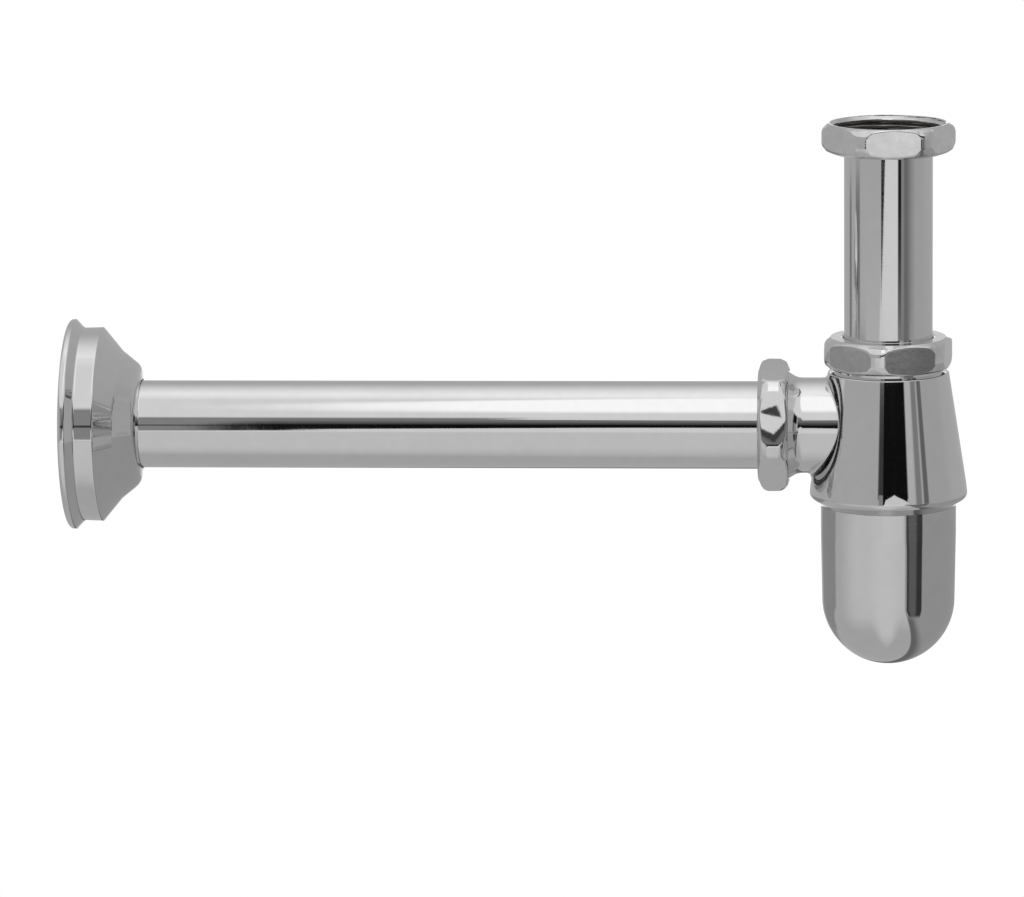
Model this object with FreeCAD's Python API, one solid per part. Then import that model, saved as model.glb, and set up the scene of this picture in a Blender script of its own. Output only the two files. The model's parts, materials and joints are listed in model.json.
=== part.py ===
import FreeCAD, Part
import math
import os

from FreeCAD import Placement, Rotation, Vector

# A bottle trap for a wash basin, in polished and plated brass.
# The origin is the middle of the washer that seals against the waste fitting above.
# +Z runs up the inlet tube, and the outlet pipe runs from the body to the wall along -X.
# All lengths are in millimetres and all angles in degrees.

# Tubes
tube_outer_r = 16.0
tube_wall = 0.9
tube_slide_gap = 0.05
tube_clear_gap = 0.3

# Heights below the sealing face of the washer
shoulder_drop = 84.6
dip_tube_drop = 170.0

# Coupling under the basin waste
basin_thread_r = 19.476
basin_thread_depth = 5.5
basin_thread_entry = 1.5
thread_relief_r = 20.9
washer_thickness = 2.0
washer_inner_r = 15.5
tube_flange_r = 18.9
tube_flange_thickness = 1.4
coupling_face_angle = -84.2

# Hexagon nuts, turned all over and polished
nut_across_flats = 43.9
nut_corner_r = 24.1
nut_face_r = 20.9
coupling_face_r = 21.5
nut_chamfer_angle = 30.0
nut_edge_round = 1.6
nut_lip = 1.8

# Slip joints, where a nut squeezes a rubber cone onto a tube
joint_thread_r = 20.216
joint_thread_gap = 0.1
joint_thread_engaged = 7.4
joint_thread_entry = 0.8
friction_ring_thickness = 0.6
friction_ring_r = 19.6
seal_collar_r = 19.0
seal_collar_thickness = 1.2
seal_mouth_r = 18.4
seal_seat_depth = 3.6
seal_seat_gap = 0.05
inlet_face_angle = -68.6
outlet_face_angle = -74.0

# Body, a casting that widens downwards
shoulder_r = 21.9
shoulder_round = 0.8
shoulder_to_nut_gap = 1.6
skirt_r = 28.7
skirt_drop = 45.3
skirt_round = 1.2
skirt_bevel_height = 3.05
skirt_mouth_r = 24.8
body_top_wall = 2.6

# Side neck of the body
outlet_drop = 104.5
neck_r = 17.4
neck_end_reach = 43.1
neck_flare_r = 19.5
neck_flare_length = 3.3
neck_flare_round = 6.0
neck_root_fillet = 1.4

# Cup, screwed into the skirt
cup_r = 24.55
cup_wall = 1.2
cup_straight_bottom_drop = 144.0
cup_dome_r = 24.1
cup_dome_drop = 167.9
cup_thread_r = 24.05
cup_thread_gap = 0.1
cup_thread_length = 10.1
cup_rim_chamfer = 0.4
cup_seal_thickness = 2.0
cup_seal_ledge = 1.7

# Outlet pipe and the flange that hides the hole in the wall
pipe_outer_reach = 295.0
pipe_inner_reach = 24.0
flange_overhang = 1.7
flange_depth = 25.0
flange_wall = 0.9
flange_hole_gap = 0.35
flange_nose_r = 20.4
flange_nose_round = 3.0
flange_waist_r = 26.8
flange_waist_depth = 5.8
flange_waist_round = 14.0
flange_shoulder_r = 35.6
flange_shoulder_depth = 12.8
flange_shoulder_round = 0.9
flange_band_r = 35.4
flange_rim_r = 38.5
flange_rim_width = 2.4
flange_rim_rise = 2.8
flange_rim_round = 1.2

# Sizes that follow from the ones above
tube_inner_r = tube_outer_r - tube_wall
seal_bore_r = tube_outer_r + tube_slide_gap
clear_bore_r = tube_outer_r + tube_clear_gap
nut_bore_r = joint_thread_r + joint_thread_gap / 2
male_thread_r = joint_thread_r - joint_thread_gap / 2
stack_height = seal_collar_thickness + friction_ring_thickness + nut_lip
neck_top_height = shoulder_to_nut_gap + joint_thread_engaged
coupling_lip_top = -washer_thickness - tube_flange_thickness
skirt_bottom_drop = shoulder_drop + skirt_drop + skirt_bevel_height
cup_thread_bore_r = cup_thread_r + cup_thread_gap / 2
cup_male_r = cup_thread_r - cup_thread_gap / 2
cup_inner_r = cup_male_r - cup_wall
cup_rim_drop = skirt_bottom_drop - cup_thread_length
ledge_drop = cup_rim_drop - cup_seal_thickness
cavity_bottom_r = cup_thread_bore_r - cup_seal_ledge
thread_end_reach = neck_end_reach - joint_thread_engaged
flange_back_reach = pipe_outer_reach + flange_overhang
match_tolerance = 0.01

outlet_frame = Placement(Vector(0, 0, -outlet_drop), Rotation(Vector(0, 1, 0), -90))


def corner_arc(before, corner, after, radius):
    """The arc that rounds one corner, tangent to the edges on both sides."""
    towards_before = (before - corner).normalize()
    towards_after = (after - corner).normalize()
    half_angle = towards_before.getAngle(towards_after) / 2
    run = radius / math.tan(half_angle)
    start = corner + towards_before * run
    end = corner + towards_after * run
    middle_way = (towards_before + towards_after).normalize()
    centre = corner + middle_way * (radius / math.sin(half_angle))
    crest = centre - middle_way * radius
    return start, crest, end


def profile_edges(points, closed):
    """Straight edges through (radius, height, rounding) points, with the corners rounded."""
    corners = [Vector(r, 0, z) for r, z, rounding in points]
    edges = []
    position = None
    first = None
    for i, corner in enumerate(corners):
        rounding = points[i][2]
        start = corner
        end = corner
        if rounding > 0:
            after = corners[(i + 1) % len(corners)]
            start, crest, end = corner_arc(corners[i - 1], corner, after, rounding)
        if position is not None:
            edges.append(Part.LineSegment(position, start).toShape())
        if rounding > 0:
            edges.append(Part.Arc(start, crest, end).toShape())
        position = end
        first = start if first is None else first
    if closed:
        edges.append(Part.LineSegment(position, first).toShape())
    return edges


def turned(points):
    """A solid of revolution about Z from a closed outline of (radius, height, rounding) points."""
    face = Part.Face(Part.Wire(profile_edges(points, closed=True)))
    return face.revolve(Vector(0, 0, 0), Vector(0, 0, 1), 360)


def ring(inner_r, outer_r, bottom, top):
    """A plain flat ring about Z."""
    height = top - bottom
    outer = Part.makeCylinder(outer_r, height, Vector(0, 0, bottom))
    inner = Part.makeCylinder(inner_r, height, Vector(0, 0, bottom))
    return outer.cut(inner)


def hexagon_prism(across_flats, bottom, top, face_angle):
    """A hexagonal bar about Z with one flat facing face_angle."""
    sides = 6
    sector = 360 / sides
    corner_reach = across_flats / 2 / math.cos(math.radians(sector / 2))
    corners = []
    for i in range(sides + 1):
        angle = math.radians(face_angle + sector / 2 + sector * i)
        corners.append(Vector(corner_reach * math.cos(angle), corner_reach * math.sin(angle), bottom))
    return Part.Face(Part.makePolygon(corners)).extrude(Vector(0, 0, top - bottom))


def hexagon_nut(bottom, top, bore_points, face_angle, top_face_r=nut_face_r):
    """A nut with chamfered, rounded corners; bore_points run down its inside from top to bottom."""
    slope = math.tan(math.radians(nut_chamfer_angle))
    outside = [
        (nut_face_r, bottom, 0),
        (nut_corner_r, bottom + (nut_corner_r - nut_face_r) * slope, nut_edge_round),
        (nut_corner_r, top - (nut_corner_r - top_face_r) * slope, nut_edge_round),
        (top_face_r, top, 0),
    ]
    blank = turned(outside + bore_points)
    return blank.common(hexagon_prism(nut_across_flats, bottom, top, face_angle))


def coupling_nut():
    """Draws the flanged tube up to the waste; the thread is plain at its minor radius."""
    bottom = coupling_lip_top - nut_lip
    top = basin_thread_depth
    bore = [
        (basin_thread_r + basin_thread_entry, top, 0),
        (basin_thread_r, top - basin_thread_entry, 0),
        (basin_thread_r, 0, 0),
        (thread_relief_r, 0, 0),
        (thread_relief_r, coupling_lip_top, 0),
        (clear_bore_r, coupling_lip_top, 0),
        (clear_bore_r, bottom, 0),
    ]
    return hexagon_nut(bottom, top, bore, coupling_face_angle, coupling_face_r)


def coupling_washer():
    return ring(washer_inner_r, tube_flange_r, -washer_thickness, 0)


def inlet_tube():
    """One drawn tube with a flanged top, which also dips into the water in the cup."""
    top = -washer_thickness
    outline = [
        (tube_inner_r, top, 0),
        (tube_inner_r, -dip_tube_drop, 0),
        (tube_outer_r, -dip_tube_drop, 0),
        (tube_outer_r, coupling_lip_top, 0),
        (tube_flange_r, coupling_lip_top, 0),
        (tube_flange_r, top, 0),
    ]
    return turned(outline)


def slip_nut(face_angle):
    """Nut of a slip joint, about Z with the end of the neck at height 0."""
    bottom = -joint_thread_engaged
    top = stack_height
    lip_bottom = top - nut_lip
    bore = [
        (clear_bore_r, top, 0),
        (clear_bore_r, lip_bottom, 0),
        (nut_bore_r, lip_bottom, 0),
        (nut_bore_r, bottom, 0),
    ]
    return hexagon_nut(bottom, top, bore, face_angle)


def friction_ring():
    """Thin ring that lets the nut turn on the rubber."""
    bottom = seal_collar_thickness
    return ring(clear_bore_r, friction_ring_r, bottom, bottom + friction_ring_thickness)


def cone_seal():
    """Rubber seal: a collar on the end of the neck and a cone in its mouth."""
    outline = [
        (seal_bore_r, seal_collar_thickness, 0),
        (seal_bore_r, -seal_seat_depth + seal_seat_gap, 0),
        (clear_bore_r, -seal_seat_depth + seal_seat_gap, 0),
        (seal_mouth_r - seal_seat_gap, 0, 0),
        (seal_collar_r, 0, 0),
        (seal_collar_r, seal_collar_thickness, 0),
    ]
    return turned(outline)


def body_shell():
    """The casting's outside as a solid: threaded collar, shoulder, widening skirt and bevel."""
    skirt_widest = -shoulder_drop - skirt_drop
    neck_top = -shoulder_drop + neck_top_height
    outline = [
        (0, neck_top, 0),
        (0, -skirt_bottom_drop, 0),
        (skirt_mouth_r, -skirt_bottom_drop, 0),
        (skirt_r, skirt_widest, skirt_round),
        (shoulder_r, -shoulder_drop, shoulder_round),
        (male_thread_r, -shoulder_drop, 0),
        (male_thread_r, neck_top - joint_thread_entry, 0),
        (male_thread_r - joint_thread_entry, neck_top, 0),
    ]
    return turned(outline)


def body_cavity():
    """What is bored out along Z: seal seat, tube bore, water way, ledge and cup thread."""
    neck_top = -shoulder_drop + neck_top_height
    cavity_top = -shoulder_drop - body_top_wall
    outline = [
        (0, neck_top, 0),
        (seal_mouth_r, neck_top, 0),
        (clear_bore_r, neck_top - seal_seat_depth, 0),
        (clear_bore_r, cavity_top, 0),
        (shoulder_r - body_top_wall, cavity_top, 0),
        (cavity_bottom_r, -ledge_drop, 0),
        (cup_thread_bore_r, -ledge_drop, 0),
        (cup_thread_bore_r, -skirt_bottom_drop, 0),
        (0, -skirt_bottom_drop, 0),
    ]
    return turned(outline)


def neck_shell():
    """The side neck's outside, about Z from the body's axis outwards."""
    outline = [
        (0, 0, 0),
        (neck_r, 0, 0),
        (neck_r, thread_end_reach - neck_flare_length, neck_flare_round),
        (neck_flare_r, thread_end_reach, 0),
        (male_thread_r, thread_end_reach, 0),
        (male_thread_r, neck_end_reach - joint_thread_entry, 0),
        (male_thread_r - joint_thread_entry, neck_end_reach, 0),
        (0, neck_end_reach, 0),
    ]
    return turned(outline)


def neck_cavity():
    """The bore of the side neck with its seal seat, about Z from the body's axis outwards."""
    outline = [
        (0, 0, 0),
        (clear_bore_r, 0, 0),
        (clear_bore_r, neck_end_reach - seal_seat_depth, 0),
        (seal_mouth_r, neck_end_reach, 0),
        (0, neck_end_reach, 0),
    ]
    return turned(outline)


def root_edges(solid):
    """The saddle edges where the neck's cylinder runs into the cone of the body."""
    found = []
    for edge in solid.Edges:
        middle = edge.valueAt((edge.FirstParameter + edge.LastParameter) / 2)
        from_outlet_line = math.hypot(middle.y, middle.z + outlet_drop)
        plain = edge.Curve.TypeId in ("Part::GeomLine", "Part::GeomCircle")
        if not plain and abs(from_outlet_line - neck_r) < match_tolerance:
            found.append(edge)
    return found


def trap_body():
    """One casting: a cone with a threaded collar above, a side neck and a skirt for the cup."""
    neck = neck_shell()
    neck.Placement = outlet_frame
    outside = body_shell().fuse(neck).removeSplitter()
    outside = outside.makeFillet(neck_root_fillet, root_edges(outside))
    bore = neck_cavity()
    bore.Placement = outlet_frame
    return outside.cut(body_cavity()).cut(bore)


def cup_seal():
    return ring(cup_inner_r, cup_male_r, -cup_rim_drop, -ledge_drop)


def cup():
    """Spun cup with a threaded rim, a slight taper and a round bottom."""
    dome_centre = Vector(0, 0, -cup_dome_drop)
    corners = [
        Vector(cup_inner_r, 0, -cup_rim_drop),
        Vector(cup_male_r - cup_rim_chamfer, 0, -cup_rim_drop),
        Vector(cup_male_r, 0, -cup_rim_drop - cup_rim_chamfer),
        Vector(cup_male_r, 0, -skirt_bottom_drop),
        Vector(cup_r, 0, -skirt_bottom_drop),
        Vector(cup_r, 0, -cup_straight_bottom_drop),
        Vector(cup_dome_r, 0, -cup_dome_drop),
    ]
    inner_dome_r = cup_dome_r - cup_wall
    diagonal = Vector(math.sqrt(0.5), 0, -math.sqrt(0.5))
    outer_pole = dome_centre + Vector(0, 0, -cup_dome_r)
    inner_pole = dome_centre + Vector(0, 0, -inner_dome_r)
    inner_start = dome_centre + Vector(inner_dome_r, 0, 0)
    edges = [Part.LineSegment(a, b).toShape() for a, b in zip(corners, corners[1:])]
    edges.append(Part.Arc(corners[-1], dome_centre + diagonal * cup_dome_r, outer_pole).toShape())
    edges.append(Part.LineSegment(outer_pole, inner_pole).toShape())
    edges.append(Part.Arc(inner_pole, dome_centre + diagonal * inner_dome_r, inner_start).toShape())
    edges.append(Part.LineSegment(inner_start, corners[0]).toShape())
    face = Part.Face(Part.Wire(edges))
    return face.revolve(Vector(0, 0, 0), Vector(0, 0, 1), 360)


def outlet_pipe():
    """Plain tube to the wall, about Z from the body's axis outwards."""
    return ring(tube_inner_r, tube_outer_r, pipe_inner_reach, pipe_outer_reach)


def wall_flange():
    """Spun cover of even thickness, open at the back, about Z from the body's axis outwards."""
    back = flange_back_reach
    front = back - flange_depth
    rim_front = back - flange_rim_width
    outer = [
        (tube_outer_r + flange_hole_gap, front, 0),
        (flange_nose_r, front, flange_nose_round),
        (flange_waist_r, front + flange_waist_depth, flange_waist_round),
        (flange_shoulder_r, front + flange_shoulder_depth, flange_shoulder_round),
        (flange_band_r, rim_front - flange_rim_rise, flange_rim_round),
        (flange_rim_r, rim_front, flange_rim_round),
        (flange_rim_r, back, 0),
    ]
    skin = Part.Wire(profile_edges(outer, closed=False))
    section = skin.makeOffset2D(flange_wall, 0, True, True)
    return section.revolve(Vector(0, 0, 0), Vector(0, 0, 1), 360)


def on_inlet(shape):
    """Moves a slip joint's piece from its own frame to the collar on top of the body."""
    shape.Placement = Placement(Vector(0, 0, -shoulder_drop + neck_top_height), Rotation())
    return shape


def on_outlet(shape, reach=0):
    """Moves a piece from its own frame to the outlet line, reach along it from the body's axis."""
    shape.Placement = outlet_frame.multiply(Placement(Vector(0, 0, reach), Rotation()))
    return shape


pieces = {
    "coupling_nut": coupling_nut(),
    "coupling_washer": coupling_washer(),
    "inlet_tube": inlet_tube(),
    "inlet_slip_nut": on_inlet(slip_nut(inlet_face_angle)),
    "inlet_friction_ring": on_inlet(friction_ring()),
    "inlet_cone_seal": on_inlet(cone_seal()),
    "trap_body": trap_body(),
    "cup_seal": cup_seal(),
    "cup": cup(),
    "outlet_slip_nut": on_outlet(slip_nut(outlet_face_angle), neck_end_reach),
    "outlet_friction_ring": on_outlet(friction_ring(), neck_end_reach),
    "outlet_cone_seal": on_outlet(cone_seal(), neck_end_reach),
    "outlet_pipe": on_outlet(outlet_pipe()),
    "wall_flange": on_outlet(wall_flange()),
}

os.makedirs("parts", exist_ok=True)
for name, shape in pieces.items():
    solid = shape.Solids[0]
    print(name, "solids", len(shape.Solids), "valid", solid.isValid(), "volume", round(solid.Volume, 1))
    solid.exportStep(f"parts/{name}.step")
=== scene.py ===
import json
import math

import bmesh
import bpy
import numpy as np
from mathutils import Matrix, Vector


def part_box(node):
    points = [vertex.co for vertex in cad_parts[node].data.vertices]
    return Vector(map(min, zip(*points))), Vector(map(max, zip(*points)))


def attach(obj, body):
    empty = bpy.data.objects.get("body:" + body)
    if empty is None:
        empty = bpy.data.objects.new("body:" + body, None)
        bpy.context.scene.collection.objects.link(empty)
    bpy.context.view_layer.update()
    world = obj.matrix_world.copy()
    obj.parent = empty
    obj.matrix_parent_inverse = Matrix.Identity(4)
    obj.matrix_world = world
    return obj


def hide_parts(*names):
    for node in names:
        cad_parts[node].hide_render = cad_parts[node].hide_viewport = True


# A chromed bottle trap for a wash basin.
# The frame is in metres, with +Z up the inlet tube and the outlet pipe along -X.
# Outlines are in millimetres, as (radius, height, rounding) points about a piece's own axis.

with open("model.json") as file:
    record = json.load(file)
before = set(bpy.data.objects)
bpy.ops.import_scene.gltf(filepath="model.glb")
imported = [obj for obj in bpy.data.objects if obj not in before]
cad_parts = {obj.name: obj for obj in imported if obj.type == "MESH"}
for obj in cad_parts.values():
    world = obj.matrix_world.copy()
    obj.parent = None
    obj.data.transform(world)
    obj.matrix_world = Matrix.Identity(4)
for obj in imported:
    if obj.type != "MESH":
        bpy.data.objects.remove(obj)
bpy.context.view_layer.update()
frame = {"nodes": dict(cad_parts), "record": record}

MM = 0.001

# Fineness of the meshes: points in a full turn, and the turn between points of a rounding
COLUMNS = 320
COLUMN_STEP = 2 * math.pi / COLUMNS
ARC_STEP = math.radians(5)

# How far from a rounding a straight run has its next point, and the most of the run that this may be
SUPPORT = 0.3
SUPPORT_SHARE = 0.25

# The least turn of a sharp edge, and the distance in metres within which points are merged
SHARP_ANGLE = math.radians(28)
MERGE = 2e-7

# Height of a row on a thread, and numbers of rows elsewhere
thread_row = 0.2
root_fillet_rows = 13
dome_rows = 72
dome_lining_rows = 40

# Columns on half of a nut's flat, from before to after the edge of the flat, in degrees, and at the corner
nut_flat_columns = 10
nut_edge_columns = 15
nut_edge_before = 3.5
nut_edge_after = 4.0
nut_corner_columns = 3

# Tubes
tube_outer_r = 16.0
tube_inner_r = 15.1
clear_bore_r = 16.3
tube_flange_r = 18.9
edge_round = 0.25

# Coupling nut and the washer in it
coupling_face_angle = -84.2
basin_thread_entry = 1.5
plated_entry = 1.9
thread_relief_r = 20.9
washer_inner_r = 15.5
washer_thickness = 2.0
tube_flange_thickness = 1.4

# Hexagon nuts
nut_across_flats = 43.9
nut_corner_r = 24.1
nut_face_r = 20.9
nut_mouth_r = 21.6
nut_chamfer_angle = math.radians(30)
nut_face_round = 0.8
nut_face_margin = 0.45
nut_edge_blend = 0.5
nut_flat_crown = 0.12
nut_side_point_share = 0.3
nut_lip = 1.8
lip_round = 0.7
outlet_nut_draft = 0.15
inlet_face_angle = -68.6
outlet_face_angle = -74.0

# The rounding between side and chamfer grows between these two depths inside the corner radius
nut_flat_round = 0.9
nut_corner_round = 3.8
nut_round_start = 0.9
nut_round_end = 0.1

# The most of a chamfer's length that its outer and inner rounding take
nut_chamfer_outer_share = 0.78
nut_chamfer_inner_share = 0.16

# Threads: the pipe thread of the three nuts, with its run-in in turns, and the cup's finer one
pipe_pitch = 2.309
pipe_thread_r = 20.216
pipe_thread_depth = 1.479
pipe_thread_run_in = 0.5
cup_pitch = 1.5
cup_thread_r = 24.05
cup_thread_depth = 0.8
thread_gap = 0.1
joint_thread_engaged = 7.4
joint_thread_entry = 0.8

# Seats of the rubber cones
seal_mouth_r = 18.4
seal_seat_depth = 3.6

# Body
shoulder_r = 21.9
shoulder_round = 0.6
shoulder_to_nut_gap = 1.6
skirt_r = 28.7
skirt_round = 2.6
skirt_curve_height = 3.8
skirt_curve_round = 55.0
skirt_bevel_height = 3.05
skirt_mouth_r = 24.8
body_top_wall = 2.6
neck_r = 17.4
neck_flare_r = 19.5
neck_flare_length = 3.3
neck_flare_round = 6.0
neck_plain_length = 5.0
neck_side_fillet = 0.5
neck_top_fillet = 1.6

# Drawn on, the cone would reach the skirt's radius after this share of the curve's height
skirt_slope_share = 0.6

# Cup
cup_r = 24.55
cup_wall = 1.2
cup_dome_r = 24.1
cup_straight_length = 11.05
cup_taper_round = 180.0
cup_rim_chamfer = 0.4
cup_seal_thickness = 2.0
cup_seal_ledge = 1.7

# Wall flange: reaches are in front of the solid's front, and depths behind it
flange_wall = 0.9
flange_hole_r = 16.35
flange_hole_reach = 1.0
flange_nose_reach = 0.7
flange_nose_r = 21.6
flange_nose_round = 5.5
flange_waist_r = 27.1
flange_waist_depth = 6.0
flange_waist_round = 12.0
flange_shoulder_r = 35.6
flange_shoulder_depth = 12.8
flange_shoulder_round = 0.9
flange_band_r = 35.4
flange_rim_r = 38.5
flange_rim_width = 2.4
flange_rim_rise = 2.8
flange_rim_round = 1.15
flange_rim_return = 1.6

# The camera that took the photograph: lengths in millimetres, angles in degrees, and its range in metres
camera_place = (20.96, -2145.62, 284.02)
camera_yaw = 4.1875
camera_pitch = -10.466
camera_roll = 0.634
camera_lens = 212.1
camera_sensor = 36
camera_range = 100

# Nearly all values of a noise lie in this span
NOISE_SPAN = (0.3, 0.7)

# Polished chrome: the share of light that it gives back, how much that varies, and its slight blue
chrome_level = 0.68
chrome_level_range = 0.012
chrome_blue = 1.006

# The height of its waves and dimples, as shares of its peel, and of its polishing rings, in metres
wave_share = 1.6
dimple_share = 0.6
ring_height = 6e-8

# The roughness that rings and specks add
ring_dullness = (-0.006, 0.01)
speck_dullness = (0, 0.01)

# How far the rings waver on their way round, in metres
ring_waver = 0.0006

# Floor: depth below the origin, half of its side, and where it fades to white, in metres, then its looks
floor_drop = 0.6
floor_half = 4.0
floor_fade_r = 0.78
floor_fade_width = 0.7
floor_shades = (0.86, 0.9)
floor_dullness = 0.7

# What polished chrome shows of the room, as panels on a far sphere, in degrees.
# Azimuth is 0 towards -Y and grows towards +X, and elevation is 0 at eye level.
# A shade is the grey, from 0 to 255, that the chrome shows. A later panel covers an earlier one.
# Each row: name, shade, (left, right), (bottom, top) and the softness of those four edges. Where edges
# slant, it goes on with the degrees that left and right move for each degree up, and then with those
# that bottom and top move for each degree right.
studio_base = 158
room_panels = [
    ("ceiling", 232, (-360, 360), (62, 200), (1, 1, 60, 1)),
    ("right wall", 152, (62, 190), (-24, 40), (8, 4, 8, 14)),
    ("far right wall", 157, (105, 190), (-9, 40), (20, 4, 3, 14)),
    ("lower right", 138, (30, 190), (-90, -10.6), (5, 4, 6, 1.5)),
]
# The table ends in one straight edge, at right angles to this direction. Its side is dark next to the
# edge. The side's width and softness, and the edge's softness, are shares of the sphere's radius.
table_edge_facing = (113.5, 23.6)
table_edge_softness = 0.03
table_top = -9.6
table_top_softness = 4
table_side_shade = 94
table_side_width = 0.17
table_side_softness = 0.2
table_side_top = -24
table_side_top_softness = 14
table_panels = [
    ("table near", 178, (-74, 100), (-58, 0), (44, 4, 6, 4)),
    ("table low", 157, (-360, 360), (-190, -36), (1, 1, 1, 40)),
    ("table middle", 184, (-24, 16), (-74, 0), (28, 28, 52, 6)),
]
near_panels = [
    ("table front", 200, (-8.3, 24.5), (-9.9, 3), (0.6, 3, 6, 1)),
    ("table bright", 199, (-14.6, 24.5), (-9.7, -7.2), (1.5, 3, 1.2, 0.4), (7.5, 0)),
    ("slot on table", 84, (35.5, 60.5), (-24, -10.86), (2.2, 2, 7, 0.16), (-0.56, 0.1)),
    ("slot left edge", 54, (34.5, 38.5), (-22, -10.86), (2, 3, 6, 0.16), (-0.56, -0.56)),
    ("slot edge", 48, (50, 60), (-22, -10.86), (5, 2, 6, 0.16), (0, 0.1)),
    ("inlet left facet", 130, (-92, -60), (-10.4, -9.42), (4, 14, 0.3, 0.3)),
    ("inlet right facet", 92, (34, 56), (-10.45, -9.42), (4, 4, 0.3, 0.3)),
    ("tube slot", 98, (26, 62), (-9.6, -6), (3, 34, 0.8, 2)),
    ("tube slot light", 124, (34, 42), (-9.6, -6), (4, 6, 0.8, 2)),
    ("tube line", 21, (26.5, 34), (-8.9, -5), (2.5, 4, 1.2, 2)),
    ("tube strip edge", 30, (-17.5, -12.8), (-9.4, -7.57), (1.8, 1, 1, 0.06), (0, 7.5)),
    ("left strip", 127, (-154, -112), (-32, -10.4), (8, 6, 6, 0.8), (0.4, 1.2)),
    ("left line far", 110, (-118, -109), (-9.8, -8), (4, 4, 0.5, 0.6)),
    ("left line near", 104, (-92, -78), (-9.4, -7.9), (5, 5, 0.5, 0.6)),
    ("cone streak 1", 116, (42, 51), (-6, 16), (3, 3, 3, 6)),
    ("cone streak 2", 92, (54, 62), (-6, 16), (3, 3, 3, 6)),
    ("cone sliver", 168, (29, 40), (-2, 16), (2, 4, 3, 6)),
    ("upper front", 112, (-14, 30), (8, 27), (3.5, 3, 3, 3)),
    ("upper front low", 62, (-14, 30), (2.2, 16), (3.5, 3, 2, 12)),
    ("upper right", 18, (36, 62), (10, 30), (3, 8, 3, 8)),
    ("dark room", 14, (-13, 29), (2.3, 9.4), (4, 2.2, 1.2, 4)),
    ("dark right leg", 14, (9, 29), (2.9, 5), (0.5, 2.2, 0.8, 1), (0, 0), (-0.27, 0)),
    ("dark wedge", 14, (-9.2, -2.8), (-2.8, 9.4), (0.3, 0.5, 1, 4), (0, 0), (1.6, 0)),
    ("dark foot", 20, (-8.8, -5.9), (-6.6, 5), (0.3, 0.5, 0.5, 3), (0, 0.06)),
    ("notch left", 192, (-2, 9.5), (-1, 3.95), (0.5, 0.2, 1, 0.5), (0, 0), (0, 0.27)),
    ("notch right", 192, (9.5, 31), (-1, 2.6), (0.2, 1, 1, 0.5), (0, 0), (0, -0.27)),
    ("grey strip", 124, (-13, -7), (-7, 24), (0.8, 0.4, 0.6, 3)),
    ("cone edge", 52, (-13.5, -6.9), (5.3, 7.8), (3, 0.2, 0.8, 0.8)),
    ("nut shade", 56, (-2.1, 9), (18.9, 24), (0.3, 3, 0.4, 2)),
    ("nut fill left", 104, (-4.5, 0.05), (16, 20.45), (0.2, 0.1, 1, 0.3), (0, 0), (0, -0.38)),
    ("nut fill right", 104, (-0.05, 9), (16, 23.94), (0.1, 3, 1, 0.3), (0, 0), (0, 0.97)),
    ("nut light left", 203, (-4.5, 0.05), (21.14, 31), (0.2, 0.1, 0.2, 3), (0, 0), (-0.38, 0)),
    ("nut light right", 203, (-0.05, 9), (24.63, 31), (0.1, 3, 0.2, 3), (0, 0), (0.97, 0)),
    ("leaf", 58, (-1.9, 0.55), (22.25, 22.85), (0.3, 0.15, 0.15, 0.15), (0, -0.5), (-0.24, 0.3)),
    ("overhead", 204, (-110, 74), (27, 80), (30, 30, 6, 16)),
    ("overhead middle", 246, (-13, 22), (42, 84), (5, 16, 12, 14), (-0.3, 0.9)),
    ("backdrop right", 245, (172, 181), (-24, 8), (6, 0.1, 14, 8)),
    ("backdrop left", 245, (-181, -163), (-24, 8), (0.1, 10, 14, 8)),
]


def heights(node):
    """Lowest and highest point of a node, in millimetres."""
    low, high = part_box(node)
    return low.z / MM, high.z / MM


def reaches(node):
    """Nearest and farthest distance of a node from the body's axis along -X, in millimetres."""
    low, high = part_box(node)
    return -high.x / MM, -low.x / MM


def middle_height(node):
    """Height of a node's middle, in millimetres."""
    low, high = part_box(node)
    return (low.z + high.z) / 2 / MM


nut_bottom, nut_top = heights("coupling_nut")
dip_end, tube_top = heights("inlet_tube")
skirt_bottom, collar_top = heights("trap_body")
cup_bottom, cup_rim = heights("cup")
inlet_nut_bottom, inlet_nut_top = heights("inlet_slip_nut")
outlet_nut_near, outlet_nut_far = reaches("outlet_slip_nut")
pipe_near, pipe_far = reaches("outlet_pipe")
flange_front, flange_back = reaches("wall_flange")
outlet_height = middle_height("outlet_pipe")

shoulder_height = collar_top - shoulder_to_nut_gap - joint_thread_engaged
skirt_widest = skirt_bottom + skirt_bevel_height
cavity_top = shoulder_height - body_top_wall
cavity_top_r = shoulder_r - body_top_wall
ledge_height = cup_rim + cup_seal_thickness
cup_straight_bottom = skirt_bottom - cup_straight_length
dome_height = cup_bottom + cup_dome_r
neck_end = outlet_nut_near + joint_thread_engaged
neck_thread_start = outlet_nut_near
nut_edge_angle = math.acos(nut_across_flats / 2 / nut_corner_r)
cup_male_r = cup_thread_r - thread_gap / 2
cup_bore_r = cup_thread_r + thread_gap / 2
cup_inner_r = cup_male_r - cup_wall
ledge_r = cup_bore_r - cup_seal_ledge

# Lays a piece's own axis along the outlet, towards the wall
ON_OUTLET = {"turn": np.array(((0, 0, -1), (0, 1, 0), (1, 0, 0))), "centre": (0, 0, outlet_height)}


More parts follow.
